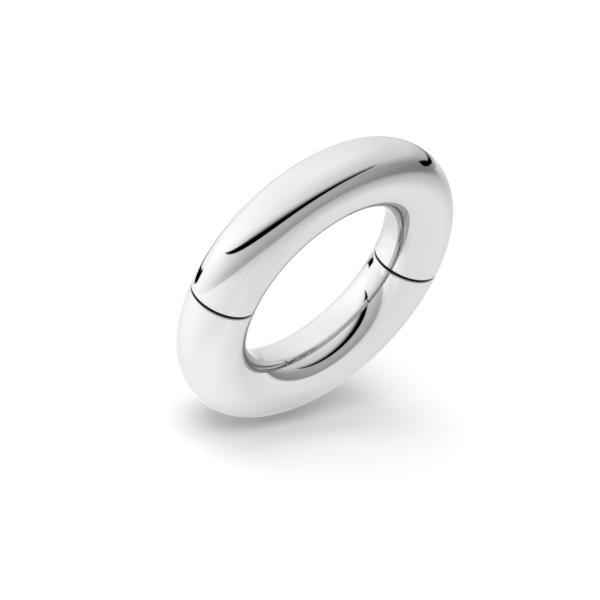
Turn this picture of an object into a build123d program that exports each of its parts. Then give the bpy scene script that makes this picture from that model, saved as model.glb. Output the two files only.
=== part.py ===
from build123d import *
import os
from math import atan, degrees, sqrt

# Openable connector ring for chains and bracelets: a thick round ring, split across a diameter
# into two equal halves that swivel apart on a hidden pivot and click shut on a hidden ball catch.
#
# Millimetres. The origin is the centre of the ring, +Y is the ring's own axis and +Z is up.
# The halves meet at z = 0. The pivot is at +X and its axis stands along Z; the catch is at -X.
# Each half is a bent round tube with a plug soldered flush into either end, and the plugs carry
# the working pieces. Every piece of a half is drawn above its own end face, at z = 0, and is
# then lifted into the upper half, or mirrored down into the lower half.

# Ring
ring_radius = 5.7  # centre of the ring to the centre line of its round section
section_radius = 1.5  # outside of the round section
tube_wall = 0.3
seam_gap = 0.12  # between the end faces of the two halves
edge_round = 0.06  # polished edge round each end face
solder_gap = 0.01  # round each plug and each pressed-in piece
plug_floor = 0.3  # metal left under the deepest hole in a plug

# Pivot
pin_radius = 0.42  # shank of the pivot pin, which turns in the bush
pin_head_radius = 0.6  # end of the pin that is fixed in the upper half
pin_head_length = 1.75
running_gap = 0.04  # round the shank, in the bush and the washers
pin_tip_length = 0.28  # shank beyond the snap ring
pin_tip_chamfer = 0.1
bush_wall = 0.2
bush_length = 1.1
thrust_washer_thickness = 0.25
thrust_washer_overlap = 0.04  # how far it reaches past the bush
axial_play = 0.01  # over each face of the thrust washer
disc_spring_thickness = 0.07
disc_spring_height = 0.14
snap_wire_radius = 0.09
snap_grip = 0.04  # how far the open snap ring still sits in its groove
snap_groove_depth = 0.16
snap_opening = 50  # degrees left out of the snap ring
pivot_bottom_gap = 0.12  # under the pin's tip

# Stop, which ends the swing
swing_range = 120  # degrees
stop_pin_radius = 0.13
stop_pin_seat = 0.85  # length in the lower half
stop_pin_reach = 0.27  # length in the upper half's groove
stop_clearance = 0.03
stop_side = 240  # degrees round the pivot from +X to where the stop pin stands

# Catch
ball_radius = 0.5
ball_gap = 0.02  # round the ball, in its sleeve and in the strike
sleeve_wall = 0.14
sleeve_floor = 0.1
sleeve_length = 1.9
sleeve_set_back = 0.01  # of the sleeve's mouth below the end face
lip_height = 0.05  # lip rolled in at the mouth, which keeps the ball in
lip_overhang = 0.06
spring_wire_radius = 0.06
spring_side_gap = 0.04
spring_turns = 5
spring_seat_gap = 0.005
strike_thickness = 0.5
hole_depth_gap = 0.02  # under a piece pressed into a blind hole

# Worked out from the values above
half_gap = seam_gap / 2
bore_radius = section_radius - tube_wall
plug_radius = bore_radius - solder_gap
bush_bore_radius = pin_radius + running_gap
bush_radius = bush_bore_radius + bush_wall
washer_radius = bush_radius + thrust_washer_overlap
washer_seat_radius = washer_radius + solder_gap
washer_seat_depth = thrust_washer_thickness / 2 + axial_play - half_gap
bush_foot = washer_seat_depth + bush_length
snap_level = bush_foot + disc_spring_height + axial_play + snap_wire_radius
snap_mean_radius = pin_radius - snap_grip + snap_wire_radius
pin_tip = snap_level + snap_wire_radius + pin_tip_length
pivot_hole_depth = pin_tip + pivot_bottom_gap
stop_orbit = (washer_seat_radius + plug_radius) / 2
ball_room = ball_radius + ball_gap
lip_radius = ball_room - lip_overhang
sleeve_radius = ball_room + sleeve_wall
ball_depth = (
    sleeve_set_back + lip_height + sqrt(ball_radius**2 - (lip_radius - ball_gap) ** 2)
)
ball_stand = ball_radius - ball_depth - seam_gap  # of the ball past the upper end face
catch_travel = ball_stand + ball_gap
spring_floor = sleeve_set_back + sleeve_length - sleeve_floor
catch_hole_depth = sleeve_set_back + sleeve_length + hole_depth_gap
head_hole_depth = washer_seat_depth + pin_head_length + hole_depth_gap
deepest_hole = max(pivot_hole_depth, catch_hole_depth, head_hole_depth)
widest_hole = max(bush_radius, sleeve_radius, pin_head_radius) + solder_gap
plug_angle = degrees(atan((deepest_hole + plug_floor) / (ring_radius - widest_hole)))

pivot = Pos(ring_radius, 0, 0)
catch = Pos(-ring_radius, 0, 0)


def in_upper(shape):
    """A shape drawn above its half's end face, in place in the upper half."""
    return Pos(0, 0, half_gap) * shape


def in_lower(shape):
    """A shape drawn above its half's end face, in place in the lower half."""
    return Pos(0, 0, -half_gap) * mirror(shape, about=Plane.XY)


def rod(radius, low, high):
    """Round rod on the Z axis between two heights."""
    return extrude(Plane.XY.offset(low) * Circle(radius), high - low)


def turned(*outline):
    """Solid turned about Z from (radius, height) corners."""
    return revolve(Plane.XZ * make_face(Polyline(*outline, close=True)), Axis.Z)


def bent_tube():
    """Half ring of tube above z = 0, with its outer end edges rounded."""
    wall = Pos(ring_radius, 0) * (Circle(section_radius) - Circle(bore_radius))
    tube = revolve(wall, Axis.Y, -180)
    ends = [
        edge
        for edge in tube.edges().filter_by(GeomType.CIRCLE)
        if abs(edge.radius - section_radius) < solder_gap
    ]
    return fillet(ends, edge_round)


def plug(side, *holes):
    """Bent rod that fills one end of a tube, with the holes for the pieces that it carries."""
    bar = revolve(Pos(ring_radius, 0) * Circle(plug_radius), Axis.Y, -plug_angle)
    if side is catch:
        bar = mirror(bar, about=Plane.YZ)
    for hole in holes:
        bar -= side * hole
    return bar


def blind_hole(radius, depth):
    """Space that a round piece is pressed into, open at the end face."""
    return rod(radius + solder_gap, -seam_gap, depth)


def washer_seat():
    """Half of the pocket that holds the thrust washer across the seam."""
    return rod(washer_seat_radius, -seam_gap, washer_seat_depth)


def stop_hole():
    """Hole that holds the foot of the stop pin, in the lower half's mirrored drawing."""
    foot = blind_hole(stop_pin_radius, stop_pin_seat + hole_depth_gap)
    return Rot(0, 0, stop_side) * Pos(stop_orbit, 0, 0) * foot


def stop_groove():
    """Round-ended arc that lets the stop pin pass while the upper half swings through its range."""
    path = CenterArc((0, 0), stop_orbit, stop_side - swing_range, swing_range)
    outline = SlotArc(path, 2 * (stop_pin_radius + stop_clearance))
    depth = stop_pin_reach + stop_clearance
    return extrude(Pos(0, 0, -seam_gap) * outline, depth + seam_gap)


def pivot_pin():
    """Stepped pin, fixed in the upper half by its head, with a groove for the snap ring."""
    groove_floor = pin_radius - snap_groove_depth
    groove_half = snap_wire_radius + axial_play
    below = -seam_gap
    pin = turned(
        (0, below - pin_tip),
        (pin_radius - pin_tip_chamfer, below - pin_tip),
        (pin_radius, below - pin_tip + pin_tip_chamfer),
        (pin_radius, below - snap_level - groove_half),
        (groove_floor, below - snap_level - groove_half),
        (groove_floor, below - snap_level + groove_half),
        (pin_radius, below - snap_level + groove_half),
        (pin_radius, washer_seat_depth),
        (pin_head_radius, washer_seat_depth),
        (pin_head_radius, washer_seat_depth + pin_head_length),
        (0, washer_seat_depth + pin_head_length),
    )
    return pivot * pin


def pivot_bush():
    """Plain bearing pressed into the lower half."""
    bush = rod(bush_radius, washer_seat_depth, bush_foot)
    return pivot * (bush - rod(bush_bore_radius, 0, bush_foot + seam_gap))


def thrust_washer():
    """Flat washer that the halves turn on, half in each."""
    half = thrust_washer_thickness / 2
    return pivot * (rod(washer_radius, -half, half) - rod(bush_bore_radius, -half, half))


def disc_spring():
    """Coned washer between the bush and the snap ring, which draws the halves together."""
    foot = bush_foot + axial_play / 2
    tip = foot + disc_spring_height - disc_spring_thickness
    cone = turned(
        (bush_radius - solder_gap, foot),
        (bush_radius - solder_gap, foot + disc_spring_thickness),
        (bush_bore_radius + solder_gap, tip + disc_spring_thickness),
        (bush_bore_radius + solder_gap, tip),
    )
    return pivot * cone


def snap_ring():
    """Open ring of round wire that springs out under the disc spring and holds the pin in."""
    wire = Plane.XZ * Pos(snap_mean_radius, 0) * Circle(snap_wire_radius)
    ring = Rot(0, 0, snap_opening / 2) * revolve(wire, Axis.Z, 360 - snap_opening)
    return pivot * Pos(0, 0, snap_level) * ring


def stop_pin():
    """Pin pressed into the lower half, standing up into the upper half's groove."""
    pin = rod(stop_pin_radius, -stop_pin_reach - seam_gap, stop_pin_seat)
    return pivot * Rot(0, 0, stop_side) * Pos(stop_orbit, 0, 0) * pin


def catch_sleeve():
    """Cup pressed into the lower half, with its mouth rolled in over the ball."""
    mouth = sleeve_set_back
    foot = mouth + sleeve_length
    cup = turned(
        (lip_radius, mouth),
        (sleeve_radius, mouth),
        (sleeve_radius, foot),
        (0, foot),
        (0, spring_floor),
        (ball_room, spring_floor),
        (ball_room, mouth + lip_height),
        (lip_radius, mouth + lip_height),
    )
    return catch * cup


def catch_ball():
    """Ball that stands out of the sleeve into the strike."""
    return catch * Pos(0, 0, ball_depth) * Sphere(ball_radius)


def catch_spring():
    """Coil spring between the sleeve's floor and the ball."""
    mean_radius = ball_room - spring_side_gap - spring_wire_radius
    reach = ball_radius + spring_wire_radius + spring_seat_gap
    top = ball_depth + sqrt(reach**2 - mean_radius**2)
    foot = spring_floor - spring_wire_radius - spring_seat_gap
    coil = Helix((foot - top) / spring_turns, foot - top, mean_radius)
    wire = sweep((coil ^ 0) * Circle(spring_wire_radius), path=coil, is_frenet=True)
    return catch * Pos(0, 0, top) * wire


def strike():
    """Hard disc pressed into the upper half, with the hollow that the ball clicks into."""
    disc = rod(sleeve_radius, 0, strike_thickness)
    return catch * (disc - Pos(0, 0, -seam_gap - ball_depth) * Sphere(ball_room))


parts = {
    "lower_tube": in_lower(bent_tube()),
    "lower_pivot_plug": in_lower(
        plug(
            pivot,
            washer_seat(),
            blind_hole(bush_radius, pivot_hole_depth),
            stop_hole(),
        )
    ),
    "lower_catch_plug": in_lower(plug(catch, blind_hole(sleeve_radius, catch_hole_depth))),
    "pivot_bush": in_lower(pivot_bush()),
    "thrust_washer": thrust_washer(),
    "disc_spring": in_lower(disc_spring()),
    "stop_pin": in_lower(stop_pin()),
    "catch_sleeve": in_lower(catch_sleeve()),
    "catch_spring": in_lower(catch_spring()),
    "catch_ball": in_lower(catch_ball()),
    "upper_tube": in_upper(bent_tube()),
    "upper_pivot_plug": in_upper(
        plug(
            pivot,
            washer_seat(),
            blind_hole(pin_head_radius, head_hole_depth),
            stop_groove(),
        )
    ),
    "upper_catch_plug": in_upper(
        plug(catch, blind_hole(sleeve_radius, strike_thickness + hole_depth_gap))
    ),
    "pivot_pin": in_upper(pivot_pin()),
    "snap_ring": in_lower(snap_ring()),
    "strike": in_upper(strike()),
}

os.makedirs("parts", exist_ok=True)
for name, shape in parts.items():
    export_step(shape, f"parts/{name}.step")
print("travel of the catch ball:", round(catch_travel, 4))
print("height of the catch spring's foot:", round(-half_gap - spring_floor, 4))
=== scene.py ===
import bpy
import numpy as np
from mathutils import Matrix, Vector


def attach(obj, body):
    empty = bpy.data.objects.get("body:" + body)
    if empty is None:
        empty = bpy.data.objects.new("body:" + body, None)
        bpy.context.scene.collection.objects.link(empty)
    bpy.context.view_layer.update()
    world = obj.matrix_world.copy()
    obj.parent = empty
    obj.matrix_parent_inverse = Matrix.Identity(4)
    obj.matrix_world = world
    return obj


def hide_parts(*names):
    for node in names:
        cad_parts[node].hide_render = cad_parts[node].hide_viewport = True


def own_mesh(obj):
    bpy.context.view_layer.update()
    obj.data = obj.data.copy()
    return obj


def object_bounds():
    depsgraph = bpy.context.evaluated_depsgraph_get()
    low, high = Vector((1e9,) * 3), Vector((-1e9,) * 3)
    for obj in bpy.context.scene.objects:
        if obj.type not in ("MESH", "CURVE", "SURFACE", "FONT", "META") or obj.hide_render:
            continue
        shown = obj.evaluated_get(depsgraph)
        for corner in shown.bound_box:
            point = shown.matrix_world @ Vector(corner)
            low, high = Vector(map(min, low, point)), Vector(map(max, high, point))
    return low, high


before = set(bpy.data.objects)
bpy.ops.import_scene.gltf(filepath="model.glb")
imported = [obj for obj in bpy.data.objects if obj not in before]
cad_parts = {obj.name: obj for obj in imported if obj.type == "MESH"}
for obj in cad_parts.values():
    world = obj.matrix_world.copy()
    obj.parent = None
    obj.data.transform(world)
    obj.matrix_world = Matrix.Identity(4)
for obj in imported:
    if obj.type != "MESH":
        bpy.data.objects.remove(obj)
cad_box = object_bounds()

# Openable connector ring: two half rings of polished silver tube that swivel apart on a hidden
# pivot at +X and click shut on a hidden ball catch at -X. Metres; the ring's own axis is Y, and
# the halves meet at z = 0. The sections follow the ring as it is put together.


# ---- Lower tube ----
# The lower half of the ring: silver tube bent to a half circle and polished to a mirror. Its two
# end faces are ground flat and square to the bend, and their outer edges are eased on the mop.

ring_radius = 5.7e-3  # middle of the ring to the middle of its round section
section_radius = 1.5e-3
tube_bore = 1.2e-3  # radius
face_level = 0.06e-3  # each end face stands this far from the plane where the halves meet
outer_easing = 0.06e-3
bore_easing = 0.012e-3
polished, ground = 0, 1  # finishes of a tube, in the order of its materials
ground_rows = 5  # rows of end_rows that are ground, from the bore over the flat face


def skin(name, points, looped=False, finish=None):
    """Closed surface through a grid of points. Each row is a ring that closes on itself. A looped
    grid joins its last row to its first. Otherwise the first and last rows are single points, and
    a fan of triangles closes each. finish names the material of the band above each row."""
    rows, columns = points.shape[:2]
    if looped:
        spots = points.reshape(-1, 3)
        number = np.arange(rows * columns).reshape(rows, columns)
        number = np.vstack([number, number[:1]])
    else:
        spots = np.vstack([points[:1, 0], points[1:-1].reshape(-1, 3), points[-1:, 0]])
        number = np.arange((rows - 2) * columns).reshape(rows - 2, columns) + 1
    here, above = number[:-1], number[1:]
    quads = np.stack([here, np.roll(here, -1, 1), np.roll(above, -1, 1), above], axis=-1)
    faces = quads.reshape(-1, 4).tolist()
    if not looped:
        last = len(spots) - 1
        first_row, last_row = number[0], number[-1]
        fan = np.stack([np.zeros(columns, int), np.roll(first_row, -1), first_row], axis=-1)
        cap = np.stack([last_row, np.roll(last_row, -1), np.full(columns, last)], axis=-1)
        faces += fan.tolist() + cap.tolist()
    mesh = bpy.data.meshes.new(name)
    mesh.from_pydata(spots.tolist(), [], faces)
    if finish is not None:
        mesh.polygons.foreach_set("material_index", np.repeat(finish, columns))
    mesh.shade_smooth()
    mesh.set_sharp_from_angle(angle=np.radians(35))
    piece = bpy.data.objects.new(name, mesh)
    bpy.context.scene.collection.objects.link(piece)
    return piece


def bent(rows, side, columns=192):
    """Points of a bar bent round the ring. A row is (radius, lean, height): a circle of that
    radius round the bar's centre line at +X, leaned over towards -X about the ring's middle, and
    then raised. The side is 1 for the upper half, and -1 mirrors it into the lower half."""
    radius, lean, height = (np.array(column)[:, None] for column in zip(*rows))
    around = side * np.linspace(0, 2 * np.pi, columns, endpoint=False)[None, :]
    out = ring_radius + radius * np.cos(around)
    return np.stack(
        [
            out * np.cos(np.radians(lean)),
            radius * np.sin(around) + 0 * lean,
            side * (out * np.sin(np.radians(lean)) + height + face_level),
        ],
        axis=-1,
    )


def end_rows(lean):
    """Rows of one end of the tube, from its bore over the flat face to its polished outside. The
    outer edge is a quarter circle, and one more row just inside it keeps the face flat."""
    quarter = np.radians([0, 12, 27, 45, 63, 78, 90])
    radius = section_radius - outer_easing * (1 - np.sin(quarter))
    height = outer_easing * (1 - np.cos(quarter))
    face = [tube_bore + bore_easing, tube_bore + 2 * bore_easing, radius[0] - outer_easing / 3]
    return (
        [(tube_bore, lean, 2 * bore_easing), (tube_bore, lean, bore_easing)]
        + [(r, lean, 0.0) for r in face]
        + [(r, lean, h) for r, h in zip(radius, height)]
        + [(section_radius, lean, 1.5 * outer_easing)]
    )


def half_tube(name, side):
    """One half of the ring's tube as a single closed surface: out over one end face, along the
    outside to the other end, in over that face, and back along the bore."""
    near, far = end_rows(0.0), end_rows(180.0)[::-1]
    outside = [(section_radius, lean, 0.0) for lean in np.linspace(1.2, 178.8, 297)]
    bore = [(tube_bore, lean, 0.0) for lean in np.linspace(178.5, 1.5, 91)]
    ends = [ground] * ground_rows + [polished] * (len(near) - ground_rows)
    finish = ends + [polished] * len(outside) + ends[:-1][::-1] + [ground] * (len(bore) + 1)
    tube = skin(name, bent(near + outside + far + bore, side), looped=True, finish=finish)
    tube.data.materials.append(silver)
    tube.data.materials.append(end_silver)
    return tube


def nodes_of(name):
    """A new material, with its nodes and the links between them."""
    material = bpy.data.materials.new(name)
    material.use_nodes = True
    return material, material.node_tree.nodes, material.node_tree.links


def spread(nodes, links, value, low, high):
    """A texture's value, with the middle range that it mostly keeps to spread over low to high."""
    node = nodes.new("ShaderNodeMapRange")
    node.inputs["From Min"].default_value = 0.3
    node.inputs["From Max"].default_value = 0.7
    node.inputs["To Min"].default_value = low
    node.inputs["To Max"].default_value = high
    links.new(value, node.inputs["Value"])
    return node.outputs["Result"]


def mirror_silver():
    """Silver off the last mop: almost a perfect mirror, with broad soft unevenness left by the
    mop, a finish that is a little duller in patches, and hairlines too fine to see one by one."""
    material, nodes, links = nodes_of("mirror_silver")
    shader = nodes["Principled BSDF"]
    shader.inputs["Metallic"].default_value = 1.0
    shader.inputs["Specular Tint"].default_value = (0.84, 0.84, 0.84, 1)
    place = nodes.new("ShaderNodeTexCoord")
    patches = nodes.new("ShaderNodeTexNoise")
    patches.inputs["Scale"].default_value = 420.0
    patches.inputs["Detail"].default_value = 3.0
    links.new(place.outputs["Object"], patches.inputs["Vector"])
    hairlines = nodes.new("ShaderNodeTexNoise")
    hairlines.inputs["Scale"].default_value = 9000.0
    hairlines.inputs["Detail"].default_value = 4.0
    links.new(place.outputs["Object"], hairlines.inputs["Vector"])
    tone = nodes.new("ShaderNodeMix")
    tone.data_type = "RGBA"
    tone.inputs["A"].default_value = (0.675, 0.675, 0.678, 1)
    tone.inputs["B"].default_value = (0.7, 0.7, 0.698, 1)
    links.new(patches.outputs["Fac"], tone.inputs["Factor"])
    links.new(tone.outputs["Result"], shader.inputs["Base Color"])
    links.new(spread(nodes, links, patches.outputs["Fac"], 0.015, 0.04), shader.inputs["Roughness"])
    swell = nodes.new("ShaderNodeBump")
    swell.inputs["Strength"].default_value = 1.0
    swell.inputs["Distance"].default_value = 2.0e-7
    links.new(hairlines.outputs["Fac"], swell.inputs["Height"])
    links.new(swell.outputs["Normal"], shader.inputs["Normal"])
    return material


def ground_silver_and_seam_shade():
    """Silver ground on a flat lap: satin, with fine scratches across each other. Its grey is partly
    its own tone and partly painted shade, which darkens the seams where the end faces meet.
    """
    material, nodes, links = nodes_of("ground_silver_and_seam_shade")
    shader = nodes["Principled BSDF"]
    shader.inputs["Metallic"].default_value = 1.0
    place = nodes.new("ShaderNodeTexCoord")
    scratches = nodes.new("ShaderNodeTexNoise")
    scratches.inputs["Scale"].default_value = 14000.0
    scratches.inputs["Detail"].default_value = 5.0
    scratches.inputs["Distortion"].default_value = 1.5
    links.new(place.outputs["Object"], scratches.inputs["Vector"])
    # Darker than the polish: partly the ground face's own grey, partly painted shade that darkens
    # the seams between the halves.
    tone = nodes.new("ShaderNodeMix")
    tone.data_type = "RGBA"
    tone.inputs["A"].default_value = (0.36, 0.355, 0.35, 1)
    tone.inputs["B"].default_value = (0.62, 0.615, 0.6, 1)
    links.new(scratches.outputs["Fac"], tone.inputs["Factor"])
    links.new(tone.outputs["Result"], shader.inputs["Base Color"])
    links.new(spread(nodes, links, scratches.outputs["Fac"], 0.3, 0.5), shader.inputs["Roughness"])
    grain = nodes.new("ShaderNodeBump")
    grain.inputs["Strength"].default_value = 1.0
    grain.inputs["Distance"].default_value = 1.5e-6
    links.new(scratches.outputs["Fac"], grain.inputs["Height"])
    links.new(grain.outputs["Normal"], shader.inputs["Normal"])
    return material


silver = mirror_silver()
end_silver = ground_silver_and_seam_shade()
lower_shell = half_tube("lower_bent_tube", -1)
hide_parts("lower_tube")
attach(lower_shell, "lower_half")


# ---- Lower plugs ----
# Silver plugs soldered flush into the lower tube's ends and ground flat with them. The one at -X
# is bored for the catch, and the one at +X for the pivot. Only the catch's can ever be seen.

plug_radius = 1.19e-3
plug_sweep = 23.9  # degrees of the ring that a plug fills
press_radius = 0.67e-3  # bores that the round catch pieces are pressed into
catch_bore_depth = 1.93e-3
corner = 0.012e-3  # corners broken with a fine stone


def catch_plug(name, side, bore_depth):
    """Plug of the -X end as one closed surface: out over its far end, along its outside to the
    end face, in over the face, and down a straight bore to the bore's floor. Its flat ends have a
    few rows between their middle and their edge, so that no face is long and thin."""
    far = 180 - plug_sweep
    broken = np.degrees(corner / ring_radius)
    rows = [(r, far, 0.0) for r in (0.0, 0.4e-3, 0.8e-3, plug_radius - corner)]
    rows += [(plug_radius, lean, 0.0) for lean in np.linspace(far + broken, 180 - broken, 61)]
    face = (plug_radius - corner, 1.0e-3, 0.8e-3, press_radius + corner)
    rows += [(r, 180, 0.0) for r in face]
    wall = (corner, 0.5 * bore_depth, bore_depth - corner)
    rows += [(press_radius, 180, height) for height in wall]
    rows += [(r, 180, bore_depth) for r in (press_radius - corner, 0.3e-3, 0.0)]
    piece = skin(name, bent(rows, side, columns=128))
    piece.data.materials.append(end_silver)
    return piece


lower_plug = catch_plug("lower_catch_end", -1, catch_bore_depth)
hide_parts("lower_catch_plug")
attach(lower_plug, "lower_half")


def solder_silver(node_name):
    """Gives a plug that is shown by its CAD mesh the plugs' own silver."""
    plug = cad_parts[node_name]
    plug.data.materials.clear()
    plug.data.materials.append(end_silver)


solder_silver("lower_pivot_plug")


# ---- Bearing bush ----
# A bronze bush pressed into the lower half at the pivot. The swivel pin turns in it. It is turned
# from bar, with its bore reamed and both mouths chamfered.

bush_bore = 0.46e-3  # radius
bush_radius = 0.66e-3
bush_low, bush_high = -1.235e-3, -0.135e-3
bush_chamfer = 0.04e-3
pivot_axis = (ring_radius, 0.0)


def eased(corners, easing, looped=False):
    """Outline with its corners rounded. Where a corner was, the outline runs through
    corner + easing * ((1 - t)^2 * back + t^2 * on) for t from 0 to 1, where back and on are unit
    steps towards the corners before and after. One more point on each side of the easing keeps
    the flats flat. easing is one length, or one for each corner."""
    corners = np.array(corners, float)
    easing = np.broadcast_to(easing, len(corners))[:, None]
    on = np.roll(corners, -1, 0) - corners
    on = easing * on / np.linalg.norm(on, axis=1, keepdims=True)
    back = np.roll(corners, 1, 0) - corners
    back = easing * back / np.linalg.norm(back, axis=1, keepdims=True)
    t = np.linspace(0, 1, 7)[None, :, None]
    curve = corners[:, None] + (1 - t) ** 2 * back[:, None] + t**2 * on[:, None]
    before, after = corners + 1.6 * back, corners + 1.6 * on
    rows = np.concatenate([before[:, None], curve, after[:, None]], axis=1)
    if looped:
        return rows.reshape(-1, 2)
    return np.vstack([corners[:1], rows[1:-1].reshape(-1, 2), corners[-1:]])


def turned(name, outline, axis, looped=False, columns=96):
    """Surface turned about an upright axis: each (radius, height) of the outline becomes the
    circle axis + radius * (cosine, sine) at that height. The outline climbs its outer wall."""
    radius, height = np.array(outline).T[:, :, None]
    turn = np.linspace(0, 2 * np.pi, columns, endpoint=False)[None, :]
    x, y = axis[0] + radius * np.cos(turn), axis[1] + radius * np.sin(turn)
    return skin(name, np.stack([x, y, height + 0 * turn], axis=-1), looped)


def machined(name, axis, dull, bright, roughness, pitch, depth):
    """Metal off a lathe. Fine lines run round the axis: they are noise that reads only the
    distance from the axis and the height, with about one line to each pitch. They change the
    tone, the roughness and the surface, and broad soft patches of tarnish change the tone."""
    material, nodes, links = nodes_of(name)
    shader = nodes["Principled BSDF"]
    shader.inputs["Metallic"].default_value = 1.0
    place = nodes.new("ShaderNodeTexCoord").outputs["Object"]
    centred = nodes.new("ShaderNodeVectorMath")
    centred.operation = "SUBTRACT"
    links.new(place, centred.inputs[0])
    centred.inputs[1].default_value = (axis[0], axis[1], 0.0)
    flat = nodes.new("ShaderNodeVectorMath")
    flat.operation = "MULTIPLY"
    links.new(centred.outputs[0], flat.inputs[0])
    flat.inputs[1].default_value = (1.0, 1.0, 0.0)
    distance = nodes.new("ShaderNodeVectorMath")
    distance.operation = "LENGTH"
    links.new(flat.outputs[0], distance.inputs[0])
    parts = nodes.new("ShaderNodeSeparateXYZ")
    links.new(place, parts.inputs[0])
    section = nodes.new("ShaderNodeCombineXYZ")
    links.new(distance.outputs["Value"], section.inputs["X"])
    links.new(parts.outputs["Z"], section.inputs["Z"])
    lines = nodes.new("ShaderNodeTexNoise")
    lines.inputs["Scale"].default_value = 1.0 / pitch
    lines.inputs["Detail"].default_value = 2.0
    links.new(section.outputs[0], lines.inputs["Vector"])
    tarnish = nodes.new("ShaderNodeTexNoise")
    tarnish.inputs["Scale"].default_value = 1800.0
    tarnish.inputs["Detail"].default_value = 4.0
    links.new(place, tarnish.inputs["Vector"])
    mixed = nodes.new("ShaderNodeMath")
    mixed.operation = "MULTIPLY_ADD"
    links.new(lines.outputs["Fac"], mixed.inputs[0])
    mixed.inputs[1].default_value = 0.5
    links.new(spread(nodes, links, tarnish.outputs["Fac"], 0.0, 0.5), mixed.inputs[2])
    tone = nodes.new("ShaderNodeMix")
    tone.data_type = "RGBA"
    tone.inputs["A"].default_value = (*dull, 1)
    tone.inputs["B"].default_value = (*bright, 1)
    links.new(mixed.outputs[0], tone.inputs["Factor"])
    links.new(tone.outputs["Result"], shader.inputs["Base Color"])
    smoother, rougher = 0.75 * roughness, 1.25 * roughness
    links.new(
        spread(nodes, links, lines.outputs["Fac"], smoother, rougher), shader.inputs["Roughness"]
    )
    cut = nodes.new("ShaderNodeBump")
    cut.inputs["Strength"].default_value = 1.0
    cut.inputs["Distance"].default_value = depth
    links.new(lines.outputs["Fac"], cut.inputs["Height"])
    links.new(cut.outputs["Normal"], shader.inputs["Normal"])
    return material


bush_outline = [
    (bush_bore, bush_low), (bush_radius, bush_low), (bush_radius, bush_high), (bush_bore, bush_high)
]
bush_outline = eased(bush_outline, bush_chamfer, looped=True)
bush = turned("bearing_bush", bush_outline, pivot_axis, looped=True)
bearing_bronze = machined(
    "bearing_bronze", pivot_axis, dull=(0.38, 0.21, 0.1), bright=(0.66, 0.41, 0.2),
    roughness=0.32, pitch=0.03e-3, depth=0.8e-6,
)
bush.data.materials.append(bearing_bronze)
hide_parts("pivot_bush")
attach(bush, "lower_half")


# ---- Stop post ----
# A short steel pin pressed into the lower half beside the bush, with both ends domed. It stands
# up into an arc groove of the upper half, whose ends stop the swing.

post_radius = 0.13e-3
post_low, post_high = -0.91e-3, 0.33e-3
post_dome = 0.06e-3
post_offset = 0.95e-3  # from the pivot's axis
post_bearing = np.radians(240)
post_axis = (
    pivot_axis[0] + post_offset * np.cos(post_bearing),
    pivot_axis[1] + post_offset * np.sin(post_bearing),
)

post_outline = [(0, post_low), (post_radius, post_low), (post_radius, post_high), (0, post_high)]
post = turned("stop_post", eased(post_outline, post_dome), post_axis, columns=48)
ground_steel = machined(
    "ground_steel", pivot_axis, dull=(0.36, 0.36, 0.37), bright=(0.6, 0.6, 0.61),
    roughness=0.2, pitch=0.02e-3, depth=0.4e-6,
)
post.data.materials.append(ground_steel)
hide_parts("stop_pin")
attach(post, "lower_half")


# ---- Catch cup ----
# A brass cup pressed into the lower half at the catch. It holds the spring and the ball, and its
# mouth is rolled in over the ball so that the ball can't leave.

cup_radius = 0.66e-3
cup_bore = 0.52e-3
lip_bore = 0.46e-3
cup_mouth, lip_foot = -0.07e-3, -0.12e-3
cup_floor, cup_foot = -1.87e-3, -1.97e-3
cup_easings = np.array([0, 0.05, 0.03, 0.025, 0.015, 0.012, 0.08, 0]) * 1e-3
catch_axis = (-ring_radius, 0.0)

cup_outline = eased(
    [
        (0, cup_foot),
        (cup_radius, cup_foot),
        (cup_radius, cup_mouth),
        (lip_bore, cup_mouth),
        (lip_bore, lip_foot),
        (cup_bore, lip_foot),
        (cup_bore, cup_floor),
        (0, cup_floor),
    ],
    cup_easings,
)
cup = turned("catch_cup", cup_outline, catch_axis, columns=128)
turned_brass = machined(
    "turned_brass", catch_axis, dull=(0.46, 0.3, 0.1), bright=(0.75, 0.55, 0.24),
    roughness=0.26, pitch=0.025e-3, depth=0.6e-6,
)
cup.data.materials.append(turned_brass)
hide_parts("catch_sleeve")
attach(cup, "lower_half")


# ---- Catch spring ----
# A coil of hard-drawn steel wire that stands on the cup's floor and pushes the ball up. In the real
# catch it is pressed a little shorter when the ball goes down; here it is drawn at one length only.

coil_radius = 0.42e-3  # middle of the coil to the middle of the wire
coil_wire = 0.06e-3  # radius
coil_foot, coil_head = -1.805e-3, -0.735e-3
coil_turns = 5
closed_turns = 0.7  # at each end, where the wire lies almost flat
closed_rise = 0.12  # share of the height that both ends' closed turns climb


def wound(name, path, radial, wire_radius, columns=20):
    """Round wire along a path. Each ring of points is the path's point plus wire_radius times
    cosine * radial - sine * square, where square is at right angles to the radial direction and
    the path. Both ends are domed: over the last wire_radius of the length the ring shrinks as
    root(1 - (1 - left)^2), where left is the share of that length that is left."""
    step = np.gradient(path, axis=0)
    along_wire = step / np.linalg.norm(step, axis=1, keepdims=True)
    square = np.cross(radial, along_wire)
    square /= np.linalg.norm(square, axis=1, keepdims=True)
    length = np.concatenate([[0], np.cumsum(np.linalg.norm(np.diff(path, axis=0), axis=1))])
    left = np.minimum(length, length[-1] - length) / wire_radius
    size = wire_radius * np.sqrt(np.clip(1 - (1 - np.minimum(left, 1)) ** 2, 0, 1))
    turn = np.linspace(0, 2 * np.pi, columns, endpoint=False)[None, :, None]
    ring = np.cos(turn) * radial[:, None] - np.sin(turn) * square[:, None]
    return skin(name, path[:, None] + size[:, None, None] * ring)


def domed_steps(length, wire_radius, count):
    """Places along a wire, from 0 to 1: even, but closer together over each domed end."""
    dome = wire_radius * (1 - np.cos(np.linspace(0, np.pi / 2, 9))) / length
    middle = np.linspace(dome[-1], 1 - dome[-1], count)[1:-1]
    return np.concatenate([dome, middle, 1 - dome[::-1]])


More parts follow.
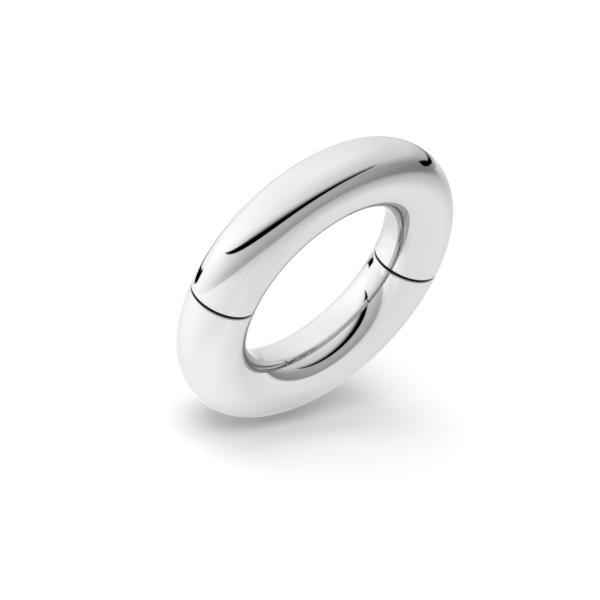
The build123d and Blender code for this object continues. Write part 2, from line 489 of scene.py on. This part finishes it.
coil_steps = domed_steps(2 * np.pi * coil_radius * coil_turns, coil_wire, 420)
coil_bearing = 2 * np.pi * coil_turns * coil_steps
closed = closed_turns / coil_turns
open_share = np.clip((coil_steps - closed) / (1 - 2 * closed), 0, 1)
closed_share = np.minimum(coil_steps, closed) + np.maximum(coil_steps - 1 + closed, 0)
coil_climb = closed_rise * closed_share / closed / 2 + (1 - closed_rise) * open_share
coil_radial = np.stack([np.cos(coil_bearing), np.sin(coil_bearing), 0 * coil_bearing], axis=1)
coil_path = coil_radius * coil_radial
coil_path[:, 0] += catch_axis[0]
coil_path[:, 2] = coil_foot + (coil_head - coil_foot) * coil_climb
coil = wound("catch_coil", coil_path, coil_radial, coil_wire)
spring_wire = machined(
    "spring_wire", catch_axis, dull=(0.28, 0.28, 0.29), bright=(0.52, 0.52, 0.53),
    roughness=0.28, pitch=0.02e-3, depth=0.4e-6,
)
coil.data.materials.append(spring_wire)
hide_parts("catch_spring")
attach(coil, "lower_half")
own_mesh(coil)


# ---- Catch ball ----
# A hard steel ball, lapped bright. It stands up through the cup's lip and clicks into the upper
# half's strike. The lapping leaves fine marks in every direction.

ball_radius = 0.5e-3
ball_level = -0.3575e-3


def lapped_steel():
    """Hard steel lapped bright, with fine marks in every direction and faint darker clouds."""
    material, nodes, links = nodes_of("lapped_steel")
    shader = nodes["Principled BSDF"]
    shader.inputs["Metallic"].default_value = 1.0
    place = nodes.new("ShaderNodeTexCoord").outputs["Object"]
    clouds = nodes.new("ShaderNodeTexNoise")
    clouds.inputs["Scale"].default_value = 2600.0
    clouds.inputs["Detail"].default_value = 3.0
    links.new(place, clouds.inputs["Vector"])
    marks = nodes.new("ShaderNodeTexNoise")
    marks.inputs["Scale"].default_value = 26000.0
    marks.inputs["Detail"].default_value = 4.0
    marks.inputs["Distortion"].default_value = 2.0
    links.new(place, marks.inputs["Vector"])
    tone = nodes.new("ShaderNodeMix")
    tone.data_type = "RGBA"
    tone.inputs["A"].default_value = (0.5, 0.5, 0.515, 1)
    tone.inputs["B"].default_value = (0.68, 0.68, 0.69, 1)
    links.new(clouds.outputs["Fac"], tone.inputs["Factor"])
    links.new(tone.outputs["Result"], shader.inputs["Base Color"])
    links.new(spread(nodes, links, marks.outputs["Fac"], 0.07, 0.14), shader.inputs["Roughness"])
    scratch = nodes.new("ShaderNodeBump")
    scratch.inputs["Strength"].default_value = 1.0
    scratch.inputs["Distance"].default_value = 0.2e-6
    links.new(marks.outputs["Fac"], scratch.inputs["Height"])
    links.new(scratch.outputs["Normal"], shader.inputs["Normal"])
    return material


ball_rise = np.linspace(-np.pi / 2, np.pi / 2, 97)
ball_outline = np.stack([np.cos(ball_rise), np.sin(ball_rise)], axis=1) * ball_radius
ball_outline[:, 1] += ball_level
ball = turned("catch_steel_ball", ball_outline, catch_axis, columns=192)
ball.data.materials.append(lapped_steel())
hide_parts("catch_ball")
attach(ball, "ball")


# ---- Thrust washer ----
# A flat bronze washer punched from rolled strip. It lies half in each end face at the pivot, and
# the two halves turn on it.

washer_bore, washer_radius = 0.46e-3, 0.7e-3
washer_half = 0.125e-3  # half its thickness
washer_easing = 0.02e-3

washer_outline = [
    (washer_bore, -washer_half),
    (washer_radius, -washer_half),
    (washer_radius, washer_half),
    (washer_bore, washer_half),
]
washer_outline = eased(washer_outline, washer_easing, looped=True)
washer = turned("flat_washer", washer_outline, pivot_axis, looped=True)
rolled_bronze = machined(
    "rolled_bronze", pivot_axis, dull=(0.45, 0.24, 0.13), bright=(0.72, 0.46, 0.29),
    roughness=0.36, pitch=0.05e-3, depth=0.5e-6,
)
washer.data.materials.append(rolled_bronze)
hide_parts("thrust_washer")
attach(washer, "lower_half")


# ---- Upper tube ----
# The other half of the ring, made like the lower one. It carries the head of the pivot pin and
# the catch's strike, and swings out over the lower half's end face.

upper_shell = half_tube("upper_bent_tube", 1)
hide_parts("upper_tube")
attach(upper_shell, "upper_half")


# ---- Upper plugs ----
# Silver plugs soldered into the upper tube's ends, like the lower ones. The one at -X is bored
# for the strike. The one at +X holds the pin's head and has the stop post's groove.

strike_bore_depth = 0.52e-3

upper_plug = catch_plug("upper_catch_end", 1, strike_bore_depth)
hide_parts("upper_catch_plug")
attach(upper_plug, "upper_half")
solder_silver("upper_pivot_plug")


# ---- Strike ----
# A hard steel disc pressed into the upper half opposite the ball, flush with the end face. The
# ball clicks into the round hollow lapped in its middle.

strike_radius = 0.66e-3
strike_low, strike_high = 0.06e-3, 0.56e-3
hollow_radius = 0.52e-3  # of the round hollow, about the ball's middle
rim_easing = 0.015e-3

hollow_edge = np.sqrt(hollow_radius**2 - (strike_low - ball_level) ** 2)
hollow_out = np.linspace(0, hollow_edge, 25)
hollow = np.stack([hollow_out, ball_level + np.sqrt(hollow_radius**2 - hollow_out**2)], axis=1)
rim = eased(
    [
        (hollow_edge, strike_low),
        (strike_radius, strike_low),
        (strike_radius, strike_high),
        (0, strike_high),
    ],
    rim_easing,
)
strike_disc = turned("strike_disc", np.vstack([hollow[:-1], rim]), catch_axis, columns=128)
hardened_steel = machined(
    "hardened_steel", catch_axis, dull=(0.22, 0.21, 0.21), bright=(0.45, 0.44, 0.44),
    roughness=0.16, pitch=0.018e-3, depth=0.3e-6,
)
strike_disc.data.materials.append(hardened_steel)
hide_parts("strike")
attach(strike_disc, "upper_half")


# ---- Swivel pin ----
# A steel pin turned and ground in one piece. Its thick head is fixed in the upper half, its shank
# turns in the bush, and a groove near its chamfered tip takes the wire ring.

pin_radius, pin_head_radius, groove_radius = 0.42e-3, 0.6e-3, 0.26e-3
pin_foot, pin_head_foot, pin_top = -1.845e-3, 0.135e-3, 1.885e-3
groove_low, groove_high = -1.575e-3, -1.375e-3
tip_chamfer = 0.1e-3
pin_easings = np.array([0, 20, 20, 12, 12, 12, 12, 12, 40, 60, 0]) * 1e-6

pin_outline = eased(
    [
        (0, pin_foot),
        (pin_radius - tip_chamfer, pin_foot),
        (pin_radius, pin_foot + tip_chamfer),
        (pin_radius, groove_low),
        (groove_radius, groove_low),
        (groove_radius, groove_high),
        (pin_radius, groove_high),
        (pin_radius, pin_head_foot),
        (pin_head_radius, pin_head_foot),
        (pin_head_radius, pin_top),
        (0, pin_top),
    ],
    pin_easings,
)
pin = turned("swivel_pin", pin_outline, pivot_axis)
pin.data.materials.append(ground_steel)
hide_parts("pivot_pin")
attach(pin, "upper_half")


# ---- Coned washer ----
# A washer of spring steel pressed to a shallow cone. It sits between the bush and the wire ring,
# and draws the halves together.

cone_bore, cone_radius = 0.47e-3, 0.65e-3
cone_foot, cone_drop, cone_thickness = -1.24e-3, 0.07e-3, 0.07e-3
cone_easing = 0.015e-3

cone_outline = [
    (cone_bore, cone_foot - cone_drop - cone_thickness),
    (cone_radius, cone_foot - cone_thickness),
    (cone_radius, cone_foot),
    (cone_bore, cone_foot - cone_drop),
]
cone_outline = eased(cone_outline, cone_easing, looped=True)
cone = turned("coned_washer", cone_outline, pivot_axis, looped=True)
blued_steel = machined(
    "blued_steel", pivot_axis, dull=(0.12, 0.14, 0.19), bright=(0.27, 0.29, 0.34),
    roughness=0.3, pitch=0.03e-3, depth=0.4e-6,
)
cone.data.materials.append(blued_steel)
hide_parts("disc_spring")
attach(cone, "lower_half")


# ---- Wire ring ----
# An open ring of round spring wire. It is spread over the pin's tip, snaps into the groove, and
# holds the pin in the bush. Its cut ends are rounded.

snap_radius = 0.47e-3  # middle of the ring to the middle of the wire
snap_wire = 0.09e-3  # radius
snap_level = -1.475e-3
snap_opening = 50  # degrees, towards +X

snap_sweep = np.radians(360 - snap_opening)
snap_steps = domed_steps(snap_radius * snap_sweep, snap_wire, 96)
snap_bearing = np.radians(snap_opening / 2) + snap_sweep * snap_steps
snap_radial = np.stack([np.cos(snap_bearing), np.sin(snap_bearing), 0 * snap_bearing], axis=1)
snap_path = snap_radius * snap_radial + np.array([pivot_axis[0], 0, snap_level])
snap = wound("wire_ring", snap_path, snap_radial, snap_wire, columns=32)
snap.data.materials.append(spring_wire)
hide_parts("snap_ring")
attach(snap, "upper_half")


# ---- Floor ----
# The ring stands on its rim on matt white paper. The paper is clear from below, so that the ring
# can be seen from there too. The polish doesn't see it: it sees the board, further on.

floor_reach = 0.6
floor_level = cad_box[0][2]


def sheet(name, low, high, level=0.0):
    """A flat level rectangle, from its low corner to its high one, that isn't part of the ring."""
    corners = [(low[0], low[1]), (high[0], low[1]), (high[0], high[1]), (low[0], high[1])]
    mesh = bpy.data.meshes.new(name)
    mesh.from_pydata([(x, y, level) for x, y in corners], [], [(0, 1, 2, 3)])
    piece = bpy.data.objects.new(name, mesh)
    bpy.context.scene.collection.objects.link(piece)
    return piece


floor = sheet("floor", (-floor_reach, -floor_reach), (floor_reach, floor_reach), floor_level)
floor.visible_glossy = False
floor_paint, nodes, links = nodes_of("floor_paint")
shader = nodes["Principled BSDF"]
shader.inputs["Base Color"].default_value = (0.6, 0.6, 0.6, 1)
shader.inputs["Roughness"].default_value = 1.0
shader.inputs["Specular IOR Level"].default_value = 0.0
from_below = nodes.new("ShaderNodeMixShader")
links.new(nodes.new("ShaderNodeNewGeometry").outputs["Backfacing"], from_below.inputs["Fac"])
links.new(shader.outputs[0], from_below.inputs[1])
links.new(nodes.new("ShaderNodeBsdfTransparent").outputs[0], from_below.inputs[2])
links.new(from_below.outputs[0], nodes["Material Output"].inputs["Surface"])
floor.data.materials.append(floor_paint)


# ---- Tent ----
# A white cloth tent of light hangs round the ring and leans back from it. It is brightest on one
# side, and its dome is a cloth of its own above the cloth of its walls.

tent_lean = np.radians(30.9)
tent_strength = 1.45
bright_side, dome_bright_side = 120, 123  # bearings, in degrees
cloth_light, cloth_gain = 0.69, 0.26  # away from the bright side, and what is added towards it
dome_light, dome_gain = 0.76, 0.265  # across the bright side, and what is added towards it
dome_top_light = 0.853
dome_foot, dome_rim = np.radians([8, 22])  # the walls fade into the dome between these rises

tent = bpy.data.worlds.new("studio_tent")
bpy.context.scene.world = tent
tent.use_nodes = True
nodes, links = tent.node_tree.nodes, tent.node_tree.links
sight = nodes.new("ShaderNodeTexCoord").outputs["Generated"]


def towards(bearing, rise):
    """Unit vector at a bearing and a rise in degrees, in the tent's own upright, which leans back
    from the ring's by tent_lean about X."""
    bearing, rise = np.radians([bearing, rise])
    x, y, z = np.cos(rise) * np.cos(bearing), np.cos(rise) * np.sin(bearing), np.sin(rise)
    back = y * np.cos(tent_lean) + z * np.sin(tent_lean)
    up = z * np.cos(tent_lean) - y * np.sin(tent_lean)
    return np.array([x, back, up])


def math(operation, *values):
    """Math node on sockets and plain numbers, in the node tree at hand."""
    node = nodes.new("ShaderNodeMath")
    node.operation = operation
    for socket, value in zip(node.inputs, values):
        if isinstance(value, bpy.types.NodeSocket):
            links.new(value, socket)
        else:
            socket.default_value = value
    return node.outputs[0]


def along(axis):
    """How far the line of sight points along an axis, as a cosine."""
    node = nodes.new("ShaderNodeVectorMath")
    node.operation = "DOT_PRODUCT"
    links.new(sight, node.inputs[0])
    node.inputs[1].default_value = axis
    return node.outputs["Value"]


def ramp(value, start, end):
    """0 at start and 1 at end, smooth at both."""
    node = nodes.new("ShaderNodeMapRange")
    node.interpolation_type = "SMOOTHSTEP"
    links.new(value, node.inputs["Value"])
    node.inputs["From Min"].default_value = start
    node.inputs["From Max"].default_value = end
    return node.outputs["Result"]


def over(below, above, cover):
    """Light below where cover is 0, and light above where it is 1."""
    node = nodes.new("ShaderNodeMix")
    node.data_type = "FLOAT"
    for name, value in (("A", below), ("B", above), ("Factor", cover)):
        if isinstance(value, bpy.types.NodeSocket):
            links.new(value, node.inputs[name])
        else:
            node.inputs[name].default_value = value
    return node.outputs["Result"]


def facing(bearing, power):
    """1 towards a bearing and 0 away from it: half of one plus the cosine, raised to a power."""
    half = math("MULTIPLY_ADD", along(towards(bearing, 0)), 0.5, 0.5)
    return math("POWER", half, power)


rise_sine = along(towards(0, 90))
rise = math("ARCSINE", rise_sine)
light = math("MULTIPLY_ADD", facing(bright_side, 2.0), cloth_gain, cloth_light)
dome = math("MULTIPLY_ADD", along(towards(dome_bright_side, 0)), dome_gain, dome_light)
dome = over(dome, dome_top_light, math("POWER", math("MAXIMUM", rise_sine, 0.0), 4.0))


# ---- Grey wall ----
# A grey wall of card hangs inside the tent, below the dome. Its lower rim dips towards one side
# and hangs lower still on another, and a soft shade reaches down below it.

wall_light, wall_gain = 0.22, 0.58  # away from the tent's bright side, and what is added towards it
wall_side, wall_side_gain = 240, 0.12  # a bearing that it also grows lighter towards
wall_foot_light, wall_top_gain = 0.93, 0.25  # shares of that light: at its foot, and more above
wall_dip = (222, 11)  # bearing and degrees of the rim's dip
wall_rim = (-7.4, -5.2)  # degrees over the dip, between which the wall fades in
low_side, low_rim = 300, (-19, -16)  # where it hangs lower
shade_side, shade_rim = 278, (-20.3, -6.3)
shade_share = 0.35


def climb(dip):
    """How far the line of sight climbs, in radians, above a plane that leans in the tent: level
    but for a dip by some degrees towards a bearing."""
    bearing, lean = dip
    return math("ARCSINE", along(towards(bearing, 90 - lean)))


def above(dip, low, high):
    """0 below low and 1 above high, both in degrees, over a plane that dips."""
    return ramp(climb(dip), np.radians(low), np.radians(high))


def beside(bearing, start, end):
    """0 where the cosine of the angle to a level bearing is start, and 1 where it is end."""
    return ramp(along(towards(bearing, 0)), start, end)


def card(bearing, rise, roll, half_width, half_height, softness, power=2.0):
    """Where a card in the tent covers the light: a rounded oblong about its centre, in degrees
    across and up, with an edge that fades over a share of its half size."""
    middle = towards(bearing, rise)
    across = towards(bearing + 90, 0)
    up = np.cross(middle, across)
    roll = np.radians(roll)
    across, up = across * np.cos(roll) + up * np.sin(roll), up * np.cos(roll) - across * np.sin(roll)
    sideways = math("ARCTAN2", along(across), along(middle))
    upwards = math("ARCSINE", along(up))
    shares = []
    for angle, half in ((sideways, half_width), (upwards, half_height)):
        share = math("DIVIDE", math("ABSOLUTE", angle), np.radians(half))
        shares.append(math("POWER", share, power))
    edge = math("POWER", math("ADD", *shares), 1 / power)
    return ramp(edge, 1 + softness, 1 - softness)


wall = math("MULTIPLY_ADD", facing(bright_side, 3.0), wall_gain, wall_light)
wall = math("MULTIPLY_ADD", along(towards(wall_side, 0)), wall_side_gain, wall)
height_share = math("MULTIPLY_ADD", above(wall_dip, -4, 14), wall_top_gain, wall_foot_light)
wall = math("MULTIPLY", wall, height_share)
shade = math("MULTIPLY", above(wall_dip, *shade_rim), beside(shade_side, 0.0, 0.5))
light = over(light, wall, math("MULTIPLY", shade, shade_share))
light = over(light, dome, ramp(rise, dome_foot, dome_rim))
low_part = math("MULTIPLY", above(wall_dip, *low_rim), beside(low_side, 0.25, 0.6))
wall_edge = math("MAXIMUM", above(wall_dip, *wall_rim), low_part)
wall_sheet = card(262, 2.6, -3, half_width=116, half_height=24, softness=0.33, power=3.2)
light = over(light, wall, math("MULTIPLY", wall_edge, wall_sheet))


# ---- Flag ----
# A flag of black felt hangs above the wall, and makes the long dark line in the polish. Its lower
# edge is sharp. Its upper edge fades, and more softly towards one end.

flag_dip, flag_edge = (218, 15.25), (23.1, 24.3)  # the lower edge, in degrees above its dip
flag_top_dip, flag_top = (196, 4.9), np.radians(22.2)
sharp_fade, soft_fade = 0.02, np.radians(8)  # radians: the upper edge, and what its soft end adds
fade_power = 0.57  # below 1, so that it fades quickly at first

flag = math("MULTIPLY", above(flag_dip, *flag_edge), beside(222, -0.05, 0.12))
fade_width = math("MULTIPLY_ADD", beside(255, -0.1, 0.8), soft_fade, sharp_fade)
fade = math("DIVIDE", math("SUBTRACT", climb(flag_top_dip), flag_top), fade_width)
fade = math("POWER", ramp(fade, 0.0, 1.0), fade_power)
light = over(light, 0.0, math("MULTIPLY", flag, math("SUBTRACT", 1.0, fade)))


# ---- Slot and hook ----
# On the far side of the tent its cloth has a dark slot, which gapes at one end, and a hook-shaped
# piece of black card, cut as a short thick strip over a long thin one.

slot_dip, slot_level = (52, 8.9), np.radians(11.5)
slot_half, slot_gape = np.radians([1.4, 1.4])  # half its height, and what its mouth adds to that
slot_mouth = 104  # bearing of the end that gapes

slot = math("ABSOLUTE", math("SUBTRACT", climb(slot_dip), slot_level))
mouth = beside(slot_mouth, np.cos(np.radians(27)), np.cos(np.radians(4)))
slot = ramp(math("DIVIDE", slot, math("MULTIPLY_ADD", mouth, slot_gape, slot_half)), 1.25, 0.75)
slot = math("MULTIPLY", slot, beside(193.5, 0.025, -0.015))
slot = math("MULTIPLY", slot, beside(105, 0.1, 0.25))
thick_strip = card(350, 8.9, 0, half_width=14, half_height=3.6, softness=0.25)
thin_strip = card(4, 8.1, 0, half_width=22, half_height=1.8, softness=0.35)
hook = math("MULTIPLY", math("MAXIMUM", thick_strip, thin_strip), beside(257, 0.025, -0.015))
light = over(light, 0.0, math("MAXIMUM", slot, hook))


# ---- Second reflections ----
# Light that meets the polish twice is painted dimmer from one side and from below, which is painted
# shade, as if the narrow places of the ring held some of it back. The lens sees plain white where it
# looks past the ring.

narrow_side = 168  # bearing
narrow_painted_shade = 0.8
narrow_rises = np.radians([-12, -40])  # from below the loss grows between these rises

ray = nodes.new("ShaderNodeLightPath")
# Painted shade in the tent's light for rays that have met the polish twice.
again = math("GREATER_THAN", ray.outputs["Glossy Depth"], 1.5)
narrow = math("MAXIMUM", facing(narrow_side, 8), ramp(rise, *narrow_rises))
again = math("MULTIPLY", again, math("MULTIPLY", narrow, narrow_painted_shade))
light = math("MULTIPLY", light, math("SUBTRACT", 1.0, again))
studio = nodes["Background"]
links.new(light, studio.inputs["Color"])
studio.inputs["Strength"].default_value = tent_strength
white = nodes.new("ShaderNodeBackground")
white.inputs["Color"].default_value = (1, 1, 1, 1)
seen = nodes.new("ShaderNodeMixShader")
links.new(ray.outputs["Is Camera Ray"], seen.inputs["Fac"])
links.new(studio.outputs[0], seen.inputs[1])
links.new(white.outputs[0], seen.inputs[2])
links.new(seen.outputs[0], nodes["World Output"].inputs["Surface"])


# ---- Lamps ----
# Two lamps light the floor only, for the ring's shadow: a wide soft one above, and a small low one
# that lights the paper under the ring's near side.

lit_by_lamps = bpy.data.collections.new("lit_by_lamps")
lit_by_lamps.objects.link(floor)


def standing(back, roll):
    """Right, up and back axes of something that looks at the ring from a direction."""
    right = np.cross([0, 0, 1], back)
    right = right / np.linalg.norm(right)
    up = np.cross(back, right)
    roll = np.radians(roll)
    rolled = right * np.cos(roll) + up * np.sin(roll)
    return np.stack([rolled, np.cross(back, rolled), back], axis=1)


def put(thing, back, distance, roll=0.0):
    """Places a lamp or camera at a distance from the ring's middle, looking at it."""
    back = np.array(back) / np.linalg.norm(back)
    matrix = np.eye(4)
    matrix[:3, :3] = standing(back, roll)
    matrix[:3, 3] = back * distance
    thing.matrix_world = Matrix(matrix.tolist())


def lamp(name, size, energy, back, distance):
    """Round lamp that only the floor is lit by, and that neither the eye nor the polish sees."""
    disk = bpy.data.lights.new(name, "AREA")
    disk.shape = "DISK"
    disk.size = size
    disk.energy = energy
    piece = bpy.data.objects.new(name, disk)
    bpy.context.scene.collection.objects.link(piece)
    piece.visible_camera = False
    piece.visible_glossy = False
    piece.light_linking.receiver_collection = lit_by_lamps
    put(piece, back, distance)


lamp("soft_lamp", size=3.6, energy=125, back=(-0.42, 0.10, 1.0), distance=3.0)
lamp("low_lamp", size=0.012, energy=0.0035, back=(-1.0, -0.5, 0.0), distance=0.025)


# ---- Board ----
# A white board leans under the ring, just clear of it, and only the polish sees it. No lamp lights
# it, yet it glows: its glow is painted light that stands for the lit floor in the polish, and it is
# weaker towards its front edge. Near the ring it has a painted bright place and a small painted
# shadow, the ring's shadow on the floor as the polish would show it. All of it is painted dimmer
# where the polish shows itself, as painted shade.

board_low, board_high = (-0.014, -0.16), (0.1, 0.06)  # front and side, from under the ring
board_clearance = 0.0065e-3
foot_glow = 1.09
front_loss = 9.8  # for each metre towards the front
back_gain = 25.0  # for each metre behind the ring, on top of that
dimmest, brightest = 0.3, 1.28
side_cut = 0.15  # what the brightest loses a little way down the side
even_side = -0.06  # this far down the side the glow has grown more even by even_gain
even_gain, even_loss = 5.3, 0.19  # for each metre towards the front, and all over
even_limit = 1.3  # beyond this many times even_side it grows no more even
# Shares of the glow: what the painted bright place adds, what the painted shadow takes, and what the
# painted shade of second reflections takes.
painted_light_gain, painted_shadow_loss, painted_twice_shade = 0.18, 0.25, 0.25  # of the two places and second reflections

board_up = towards(216.218, 73.045)
board_side = towards(60.882, 15.484)
board_front = np.cross(board_side, board_up)
lowest_way = -board_up * np.array([1, 0, 1])  # from the ring's middle, in the ring's own plane
lowest = ring_radius * lowest_way / np.linalg.norm(lowest_way) - np.array([0, 0, face_level])
foot = lowest - (section_radius + board_clearance) * board_up

board = sheet("board", board_low, board_high)
board_axes = np.eye(4)
board_axes[:3] = np.stack([board_front, board_side, board_up, foot], axis=1)
board.matrix_world = Matrix(board_axes.tolist())
for way in ("camera", "diffuse", "transmission", "volume_scatter", "shadow"):
    setattr(board, "visible_" + way, False)
board_painted_light, nodes, links = nodes_of("board_painted_light")
board_painted_light.cycles.emission_sampling = "NONE"
place = nodes.new("ShaderNodeTexCoord").outputs["Object"]
ways = nodes.new("ShaderNodeSeparateXYZ")
links.new(place, ways.inputs[0])
front, side = ways.outputs["X"], ways.outputs["Y"]


def oval(middle, half_sizes):
    """1 in the middle of an oval on the board and 0 at its rim, smooth at both."""
    centred = nodes.new("ShaderNodeVectorMath")
    centred.operation = "SUBTRACT"
    links.new(place, centred.inputs[0])
    centred.inputs[1].default_value = (*middle, 0)
    shares = nodes.new("ShaderNodeVectorMath")
    shares.operation = "DIVIDE"
    links.new(centred.outputs[0], shares.inputs[0])
    shares.inputs[1].default_value = (*half_sizes, 1)
    away = nodes.new("ShaderNodeVectorMath")
    away.operation = "LENGTH"
    links.new(shares.outputs[0], away.inputs[0])
    return ramp(away.outputs["Value"], 1.0, 0.0)


# The glow is painted light that stands for the lit floor: it falls off towards the front and rises
# behind the ring.
glow = math("MULTIPLY_ADD", front, -front_loss, foot_glow)
glow = math("MULTIPLY_ADD", math("MINIMUM", front, 0.0), -back_gain, glow)
limit = math("MULTIPLY_ADD", ramp(side, -0.005, -0.016), -side_cut, brightest)
glow = math("MINIMUM", glow, limit)
evenness = math("MAXIMUM", math("DIVIDE", side, even_side), 0.0)
evenness = math("MINIMUM", evenness, even_limit)
glow = math("MULTIPLY_ADD", math("MULTIPLY_ADD", front, even_gain, -even_loss), evenness, glow)
glow = math("MAXIMUM", glow, dimmest)
# Painted light and painted shadow on the board: a brighter place, and a dim place that stands for
# the ring's shadow on the floor.
painted_light_place = oval((0.017, -0.003), (0.014, 0.034))
painted_shadow_place = oval((-0.0012, -0.001), (0.0054, 0.0032))
# Painted shade: the glow is dimmer where the ray has met the polish twice.
met_twice = math("GREATER_THAN", nodes.new("ShaderNodeLightPath").outputs["Glossy Depth"], 1.5)
changes = ((painted_light_place, painted_light_gain), (painted_shadow_place, -painted_shadow_loss), (met_twice, -painted_twice_shade))
for where, change in changes:
    glow = math("MULTIPLY", glow, math("MULTIPLY_ADD", where, change, 1.0))
slanting = math("MULTIPLY_ADD", math("ABSOLUTE", front), 0.5, side)  # its upper edge slants
cover = math("MULTIPLY", ramp(front, -0.014, -0.009), ramp(front, 0.1, 0.08))
cover = math("MULTIPLY", cover, ramp(slanting, 0.055, 0.02))
cover = math("MULTIPLY", cover, ramp(side, -0.16, -0.12))
glowing = nodes.new("ShaderNodeEmission")
links.new(glow, glowing.inputs["Strength"])
see_through = nodes.new("ShaderNodeMixShader")
links.new(cover, see_through.inputs["Fac"])
links.new(nodes.new("ShaderNodeBsdfTransparent").outputs[0], see_through.inputs[1])
links.new(glowing.outputs[0], see_through.inputs[2])
links.new(see_through.outputs[0], nodes["Material Output"].inputs["Surface"])
board.data.materials.append(board_painted_light)


# ---- Camera ----
# A long lens on a stand looks down on the catch end of the ring, rolled so that the ring
# leans in the picture. It points at the middle of the ring, and its shift sets the ring off centre.

azimuth, elevation = np.radians([-55.815, 30.445])
camera_roll = 25.512  # degrees
camera_distance = 0.2148

lens = bpy.data.cameras.new("camera")
lens.lens = 299.37
lens.sensor_width = 36.0
lens.shift_x = -0.02676
lens.shift_y = -0.03654
lens.clip_start = 0.001
lens.clip_end = 10.0
camera = bpy.data.objects.new("camera", lens)
bpy.context.scene.collection.objects.link(camera)
bpy.context.scene.camera = camera
level_back = np.array([np.sin(azimuth), -np.cos(azimuth), 0]) * np.cos(elevation)
put(camera, level_back + np.array([0, 0, np.sin(elevation)]), camera_distance, camera_roll)
bpy.context.scene.view_settings.view_transform = "Standard"
